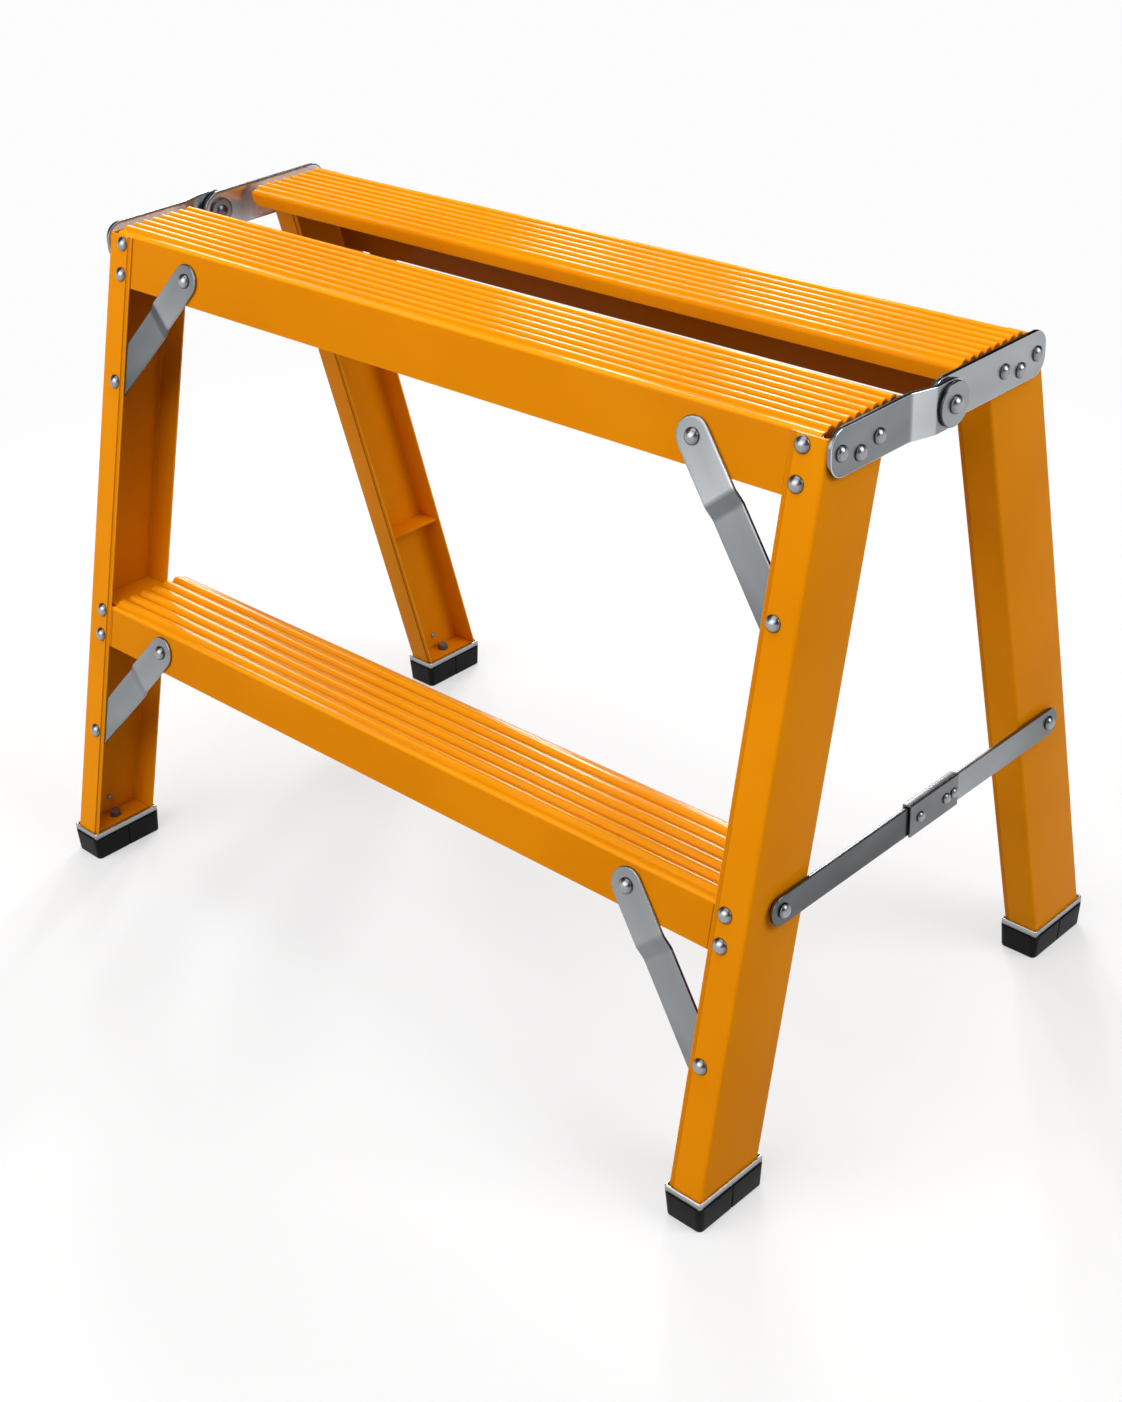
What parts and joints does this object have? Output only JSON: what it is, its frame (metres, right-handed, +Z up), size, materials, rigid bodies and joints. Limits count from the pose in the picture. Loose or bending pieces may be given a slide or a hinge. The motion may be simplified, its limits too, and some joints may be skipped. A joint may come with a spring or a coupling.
{
  "type": "sawhorse ladder",
  "caption": "Folding steel sawhorse ladder in orange gloss paint: two ribbed planks over channel legs, a low front step, zinc hinge bars, braces and one folding stay.",
  "frame": {"origin": "on the floor, midway between the four feet, straight under the fold axis", "axes": "+X along the planks towards the end with the folding stay, +Y from the step side to the rear, +Z up"},
  "size_m": [0.8378, 0.5304, 0.6025],
  "materials": {
    "orange_paint": "gloss",
    "zinc_steel": "satin",
    "steel_rivet": "satin",
    "zinc_tray": "satin",
    "black_rubber": "matte"
  },
  "bodies": {
    "front_frame": {"front_brace_left": "zinc_steel", "front_brace_right": "zinc_steel", "front_brace_rivets": "steel_rivet", "front_floor_plate_left": "orange_paint", "front_floor_plate_right": "orange_paint", "front_foot_bolts": "steel_rivet", "front_foot_left": "black_rubber", "front_foot_right": "black_rubber", "front_foot_rivets": "steel_rivet", "front_foot_tray_left": "zinc_tray", "front_foot_tray_right": "zinc_tray", "front_hinge_bar_left": "zinc_steel", "front_hinge_bar_right": "zinc_steel", "front_hinge_bar_rivets": "steel_rivet", "front_leg_left": "orange_paint", "front_leg_right": "orange_paint", "front_plank": "orange_paint", "front_plank_rivets": "steel_rivet", "front_stay_pivot": "steel_rivet", "hinge_pins": "steel_rivet", "hinge_washers": "zinc_steel", "step": "orange_paint", "step_brace_left": "zinc_steel", "step_brace_right": "zinc_steel", "step_brace_rivets": "steel_rivet", "step_rivets": "steel_rivet"},
    "rear_frame": {"rear_brace_left": "zinc_steel", "rear_brace_right": "zinc_steel", "rear_brace_rivets": "steel_rivet", "rear_floor_plate_left": "orange_paint", "rear_floor_plate_right": "orange_paint", "rear_foot_bolts": "steel_rivet", "rear_foot_left": "black_rubber", "rear_foot_right": "black_rubber", "rear_foot_rivets": "steel_rivet", "rear_foot_tray_left": "zinc_tray", "rear_foot_tray_right": "zinc_tray", "rear_hinge_bar_left": "zinc_steel", "rear_hinge_bar_right": "zinc_steel", "rear_hinge_bar_rivets": "steel_rivet", "rear_leg_left": "orange_paint", "rear_leg_right": "orange_paint", "rear_leg_shelf_left": "orange_paint", "rear_leg_shelf_right": "orange_paint", "rear_plank": "orange_paint", "rear_plank_rivets": "steel_rivet", "rear_stay_anchor": "steel_rivet"},
    "front_stay": {"front_stay_bar": "zinc_steel"},
    "rear_stay": {"rear_stay_bar": "zinc_steel", "stay_sleeve": "zinc_steel", "stay_sleeve_rivets": "steel_rivet", "stay_centre_pivot": "steel_rivet", "rear_stay_rivet": "steel_rivet"}
  },
  "joints": [
    {"name": "frame_fold", "type": "hinge", "parent": "front_frame", "child": "rear_frame", "pos_m": [0, 0, 0.5845], "axis": [-1, 0, 0], "range_deg": [0, 35]},
    {"name": "stay_lift", "type": "hinge", "parent": "front_frame", "child": "front_stay", "pos_m": [0.40435, -0.17369, 0.25], "axis": [1, 0, 0], "range_deg": [0, 58.2]},
    {"name": "stay_fold", "type": "hinge", "parent": "front_stay", "child": "rear_stay", "pos_m": [0.40435, -0.009, 0.25], "axis": [-1, 0, 0], "range_deg": [0, 136.5]}
  ],
  "couplings": [
    {"joint": "stay_lift", "follows": "frame_fold", "ratio": 1.6592},
    {"joint": "stay_fold", "follows": "frame_fold", "ratio": 3.8967}
  ]
}
